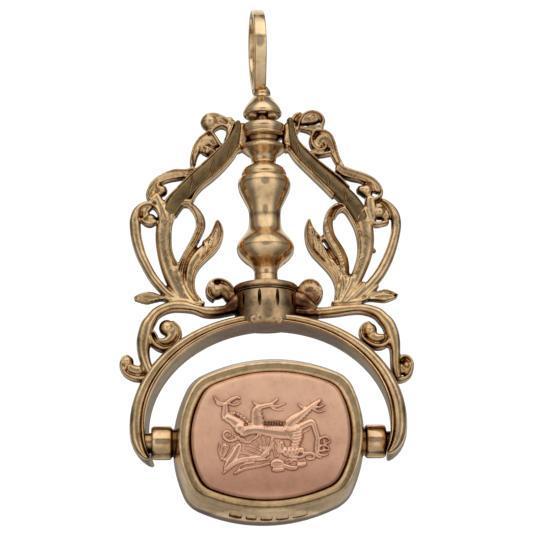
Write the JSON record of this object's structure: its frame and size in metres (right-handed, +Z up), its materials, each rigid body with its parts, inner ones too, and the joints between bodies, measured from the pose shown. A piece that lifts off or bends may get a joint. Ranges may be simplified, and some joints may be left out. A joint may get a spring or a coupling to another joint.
{
  "type": "swivel fob pendant",
  "caption": "Scrollwork swivel fob pendant: bail on a turned post, pierced scroll castings on an arched bow, and a two-sided seal spinning between its arms.",
  "frame": {"origin": "inside top of the bail's loop, where a chain's ring carries the pendant", "axes": "+Z up as it hangs, front face towards -Y, +X to the right seen from the front"},
  "size_m": [0.0292, 0.0087, 0.0533],
  "materials": {
    "gold": "polished yellow gold, dark in its recesses",
    "rose_gold": "satin brushed rose gold"
  },
  "bodies": {
    "bail": {"bail": "gold"},
    "frame": {"frame": "gold", "pivot_pin_left": "gold", "pivot_pin_right": "gold"},
    "seal": {"seal_case": "gold", "plaque_front": "rose_gold", "plaque_back": "rose_gold"}
  },
  "joints": [
    {"name": "frame_swivel", "type": "hinge", "parent": "bail", "child": "frame", "pos_m": [0, 0, -0.0116], "axis": [0, 0, 1], "continuous": true},
    {"name": "seal_spin", "type": "hinge", "parent": "frame", "child": "seal", "pos_m": [0, 0, -0.0443], "axis": [1, 0, 0], "continuous": true}
  ]
}
